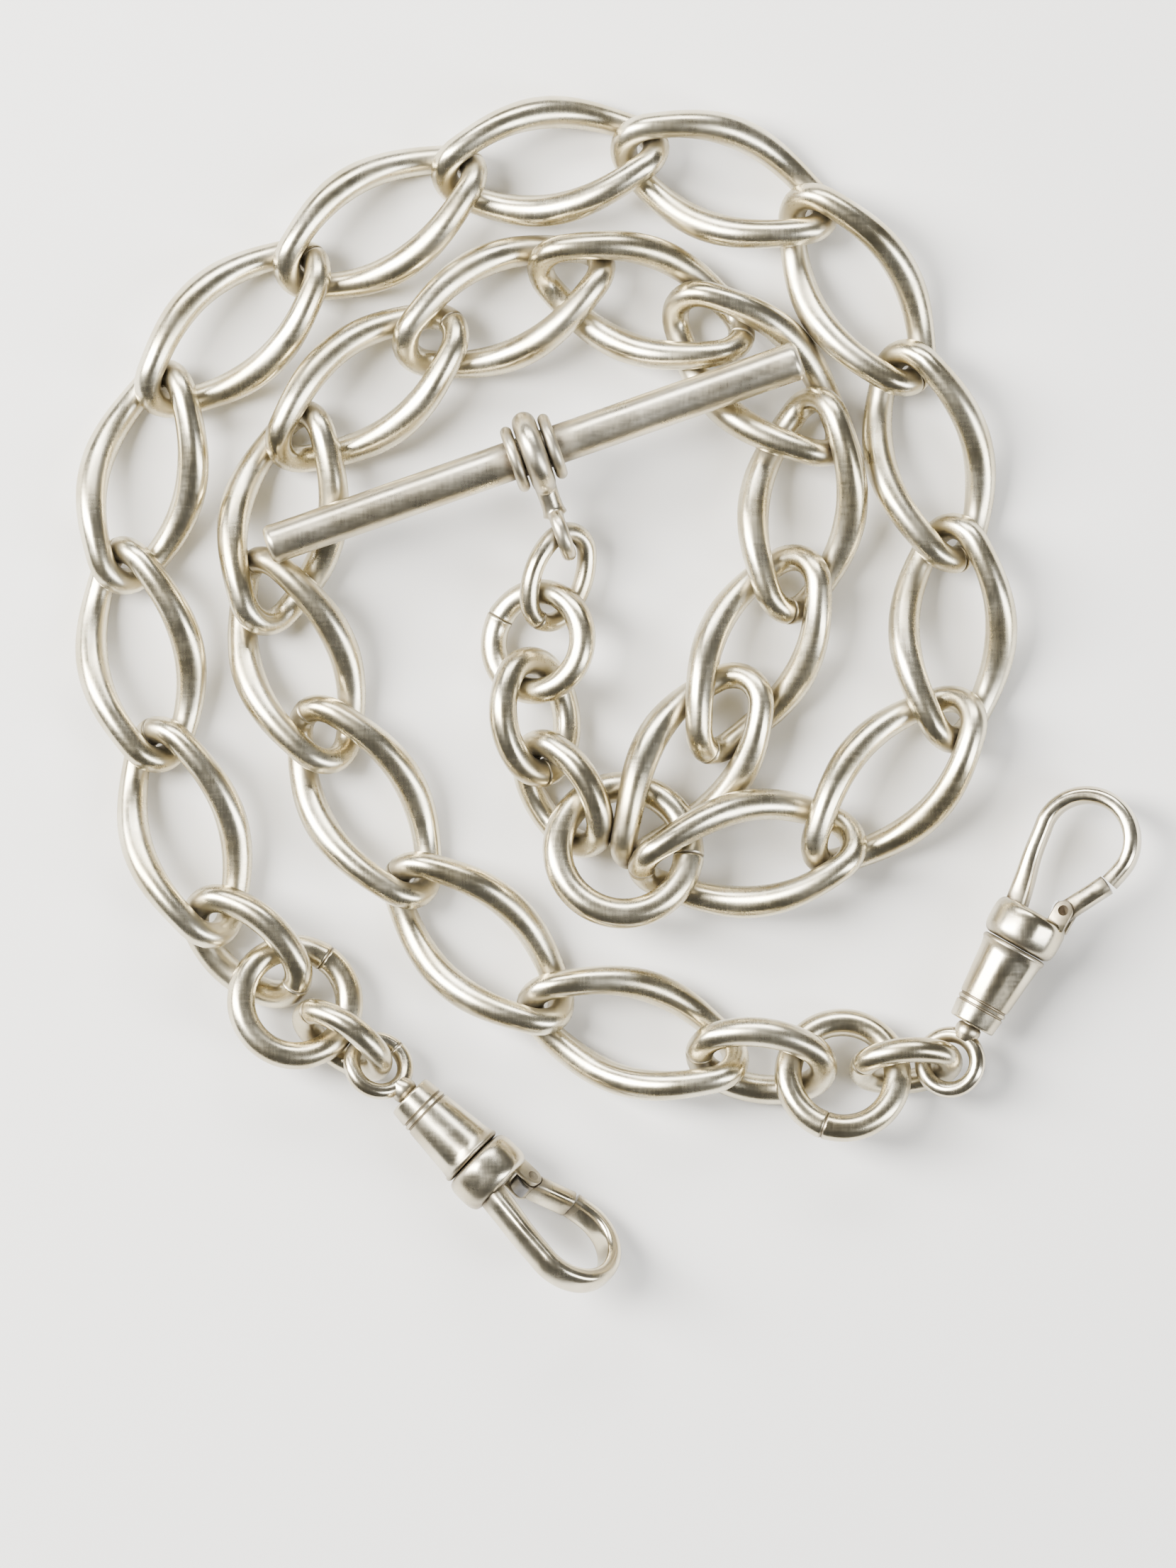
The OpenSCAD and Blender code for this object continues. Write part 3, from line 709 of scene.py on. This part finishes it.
class Nodes:
    """A metal's node tree, with short ways to add the nodes that it needs."""

    def __init__(self, name):
        self.material = bpy.data.materials.new(name)
        self.material.use_nodes = True
        self.tree = self.material.node_tree
        self.shader = self.tree.nodes["Principled BSDF"]
        self.shader.inputs["Metallic"].default_value = 1
        self.place = self.tree.nodes.new("ShaderNodeTexCoord").outputs["Object"]

    def link(self, a, b):
        self.tree.links.new(a, b)

    def noise(self, scale, detail, roughness=0.5, stretch=None):
        node = self.tree.nodes.new("ShaderNodeTexNoise")
        node.inputs["Scale"].default_value = scale
        node.inputs["Detail"].default_value = detail
        node.inputs["Roughness"].default_value = roughness
        place = self.place
        if stretch:
            mapping = self.tree.nodes.new("ShaderNodeMapping")
            mapping.inputs["Scale"].default_value = stretch
            mapping.inputs["Rotation"].default_value = STRETCH_TURN
            self.link(place, mapping.inputs["Vector"])
            place = mapping.outputs["Vector"]
        self.link(place, node.inputs["Vector"])
        return node.outputs["Fac"]

    def attribute(self, name):
        node = self.tree.nodes.new("ShaderNodeAttribute")
        node.attribute_name = name
        return node.outputs["Fac"]

    def between(self, value, source, target):
        """Maps one (low, high) range to another."""
        node = self.tree.nodes.new("ShaderNodeMapRange")
        self.link(value, node.inputs["Value"])
        for key, number in zip(("From Min", "From Max", "To Min", "To Max"), (*source, *target)):
            node.inputs[key].default_value = number
        return node.outputs["Result"]

    def maths(self, operation, a, b, clamp=False):
        node = self.tree.nodes.new("ShaderNodeMath")
        node.operation = operation
        node.use_clamp = clamp
        for value, socket in ((a, node.inputs[0]), (b, node.inputs[1])):
            if isinstance(value, (int, float)):
                socket.default_value = value
            else:
                self.link(value, socket)
        return node.outputs[0]

    def mix(self, factor, a, b):
        node = self.tree.nodes.new("ShaderNodeMix")
        node.data_type = "RGBA"
        self.link(factor, node.inputs["Factor"])
        for value, socket in ((a, node.inputs["A"]), (b, node.inputs["B"])):
            if isinstance(value, tuple):
                socket.default_value = (*value, 1)
            else:
                self.link(value, socket)
        return node.outputs["Result"]

    def bump(self, height, distance):
        node = self.tree.nodes.new("ShaderNodeBump")
        node.inputs["Distance"].default_value = distance
        self.link(height, node.inputs["Height"])
        self.link(node.outputs["Normal"], self.shader.inputs["Normal"])


def silver(name, bright, warm, roughness, scratches):
    """Worn, softly polished silver: warm patches, hairline scratches, small dents, dark joints, and dirt
    with painted shade darkening it near other pieces.
    """
    look = Nodes(name)
    patches = look.between(look.noise(260, detail=3), (0.38, 0.66), (0, 1))
    colour = look.mix(patches, bright, warm)
    specks = look.between(look.noise(1500, detail=5, roughness=0.65), (0.5, 0.8), (0, 1))
    blotches = look.between(look.noise(900, detail=4), (0.3, 0.7), (0.55, 1.15))
    # Darker near other pieces: partly dirt, partly painted shade between parts
    grime_and_shade = look.maths("MULTIPLY", look.attribute("grime_and_shade"), blotches, clamp=True)
    dirt_and_shade = look.maths("MAXIMUM", grime_and_shade, look.attribute("seam"))
    dirt_and_shade = look.maths("ADD", dirt_and_shade, look.maths("MULTIPLY", specks, 0.08), clamp=True)
    look.link(look.mix(dirt_and_shade, colour, GRIME_AND_SHADE_COLOUR), look.shader.inputs["Base Color"])
    one_way = look.noise(700, detail=2, stretch=(1, 7, 1))
    other_way = look.noise(900, detail=2, stretch=(8, 1, 2))
    lines = look.maths("ADD", one_way, other_way)
    rough = look.between(look.noise(300, detail=3), (0.3, 0.7), (roughness - 0.05, roughness + 0.06))
    rough = look.maths("ADD", rough, look.between(lines, (0.8, 1.25), (-0.02, 0.03)))
    rough = look.maths("ADD", rough, look.maths("MULTIPLY", dirt_and_shade, 0.3), clamp=True)
    look.link(rough, look.shader.inputs["Roughness"])
    dents = look.maths("MULTIPLY", look.noise(210, detail=1), 1.6)
    height = look.maths("ADD", look.maths("MULTIPLY", lines, scratches), dents)
    look.bump(height, SILVER_BUMP)
    return look.material


def spring_steel():
    """Drawn steel strip, grey with fine lines."""
    look = Nodes("spring_steel")
    colour = look.mix(look.noise(700, detail=3), (0.42, 0.42, 0.44), (0.24, 0.23, 0.22))
    look.link(colour, look.shader.inputs["Base Color"])
    rough = look.between(look.noise(900, detail=2, stretch=(1, 12, 1)), (0.3, 0.7), (0.3, 0.5))
    look.link(rough, look.shader.inputs["Roughness"])
    look.bump(look.noise(2000, detail=2, stretch=(1, 12, 1)), STEEL_BUMP)
    return look.material


def add_materials():
    """Gives every piece its slot's silver, and the pins and springs that stay CAD nodes their own looks."""
    silvers = [
        ("link_silver", (0.75, 0.69, 0.53), (0.56, 0.49, 0.33), 0.26, 0.012),
        ("ring_silver", (0.73, 0.67, 0.51), (0.52, 0.45, 0.30), 0.25, 0.015),
        ("bar_silver", (0.74, 0.68, 0.54), (0.56, 0.50, 0.37), 0.3, 0.015),
        ("clip_silver", (0.74, 0.68, 0.53), (0.54, 0.47, 0.33), 0.22, 0.01),
        ("rivet_silver", (0.70, 0.64, 0.50), (0.52, 0.46, 0.33), 0.3, 0.015),
    ]
    looks = {row[0]: silver(*row) for row in silvers}
    looks["spring_steel"] = spring_steel()
    for obj in pieces.values():
        give_look(obj, looks[obj["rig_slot"]])
    for name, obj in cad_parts.items():
        if not obj.hide_render:
            give_look(obj, looks["spring_steel" if name.endswith("spring") else "rivet_silver"])


def give_look(obj, material):
    obj.data.materials.clear()
    obj.data.materials.append(material)


# ---------------------------------------------------------------- stage, light and camera, in metres
# The camera looks straight down. FRAME_H is the length of table that the picture's long side shows
FRAME_H = 0.1179
CAMERA_UP = 0.5
CAMERA_AT = (-0.00156, -0.00672)
SENSOR = 36
NEAREST = 0.01
TABLE = 4
PAPER, PAPER_ROUGHNESS = (0.78, 0.77, 0.75, 1), 0.9
SKY, SKY_STRENGTH = (1, 0.98, 0.93, 1), 0.1
# Area lights, aimed at the origin: name, place, size, power, colour
LAMPS = [
    ("window", (-0.36, 0.1, 0.34), (0.2, 0.42), 12.5, (1, 0.98, 0.94)),
    ("fill", (0.4, -0.16, 0.3), (0.16, 0.42), 3.2, (0.95, 0.97, 1)),
    ("back", (-0.02, 0.46, 0.34), (0.5, 0.16), 4.2, (1, 1, 1)),
]


def add_stage():
    bpy.ops.mesh.primitive_plane_add(size=TABLE)
    floor = bpy.context.object
    floor.name = "floor"
    paper = bpy.data.materials.new("paper")
    paper.use_nodes = True
    shader = paper.node_tree.nodes["Principled BSDF"]
    shader.inputs["Base Color"].default_value = PAPER
    shader.inputs["Roughness"].default_value = PAPER_ROUGHNESS
    floor.data.materials.append(paper)


def add_lamp(name, at, size, power, colour):
    data = bpy.data.lights.new(name, "AREA")
    data.shape = "RECTANGLE"
    data.size, data.size_y = size
    data.energy = power
    data.color = colour
    lamp = bpy.data.objects.new(name, data)
    bpy.context.scene.collection.objects.link(lamp)
    lamp.location = at
    lamp.rotation_euler = (-Vector(at)).to_track_quat("-Z", "Y").to_euler()


def add_light():
    world = bpy.data.worlds.new("studio")
    bpy.context.scene.world = world
    world.use_nodes = True
    sky = world.node_tree.nodes["Background"]
    sky.inputs["Color"].default_value = SKY
    sky.inputs["Strength"].default_value = SKY_STRENGTH
    for lamp in LAMPS:
        add_lamp(*lamp)


def add_camera():
    data = bpy.data.cameras.new("camera")
    data.sensor_width = SENSOR
    data.lens = SENSOR * CAMERA_UP / FRAME_H
    data.clip_start = NEAREST
    camera = bpy.data.objects.new("camera", data)
    bpy.context.scene.collection.objects.link(camera)
    camera.location = (*CAMERA_AT, CAMERA_UP)
    bpy.context.scene.camera = camera


outer_tip, inner_tip = add_chain()
add_swivel("outer", outer_tip, **OUTER_SWIVEL)
add_swivel("inner", inner_tip, **INNER_SWIVEL)
add_bar()
add_wear()
add_grime_and_shade()
add_materials()
add_stage()
add_light()
add_camera()
